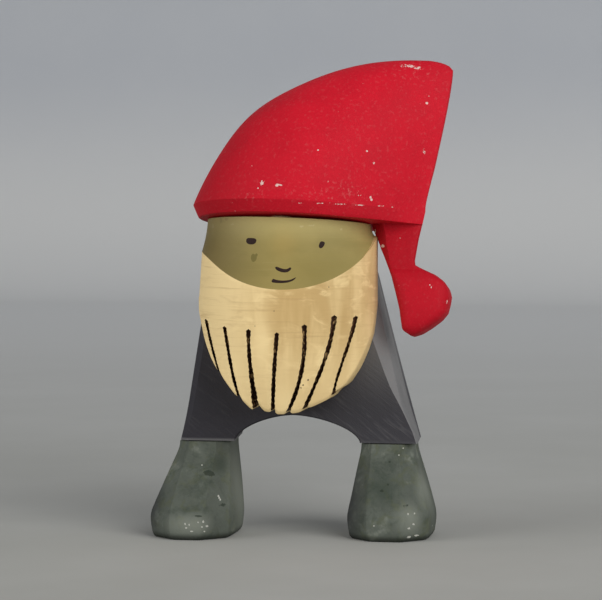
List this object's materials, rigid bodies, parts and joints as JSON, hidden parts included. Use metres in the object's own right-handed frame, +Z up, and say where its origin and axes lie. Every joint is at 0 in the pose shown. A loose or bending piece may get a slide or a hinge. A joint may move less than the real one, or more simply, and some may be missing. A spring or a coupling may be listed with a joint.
{
  "type": "carved gnome figure",
  "caption": "Carved wooden house-gnome figure with a tall red cap folded to one side, a half-round head with a sawn beard, a plank body with an arch between the legs, and rounded boots.",
  "frame": {"origin": "on the floor, under the middle of the figure's bounding box", "axes": "+Z up from the soles to the cap; the face looks along -Y; +X is the viewer's right, where the cap is folded"},
  "size_m": [0.1076, 0.0658, 0.1692],
  "materials": {
    "blue_grey_paint": "matt dark blue-grey paint over knife-cut wood",
    "grey_green_paint": "matt mottled grey-green paint, worn at the toes",
    "bare_birch": "bare sawn birch; the scooped face is stained olive, with painted eyes, nose and mouth",
    "red_paint": "semi-matt red paint, chipped at the rim and the point",
    "beech_dowel": "bare dowel, hidden inside"
  },
  "bodies": {
    "root": {"body": "blue_grey_paint", "boot_left": "grey_green_paint", "boot_right": "grey_green_paint", "head": "bare_birch", "cap": "red_paint", "boot_dowel_left": "beech_dowel", "boot_dowel_right": "beech_dowel", "head_dowel_left": "beech_dowel", "head_dowel_right": "beech_dowel", "cap_dowel_back": "beech_dowel", "cap_dowel_front": "beech_dowel"}
  },
  "joints": []
}
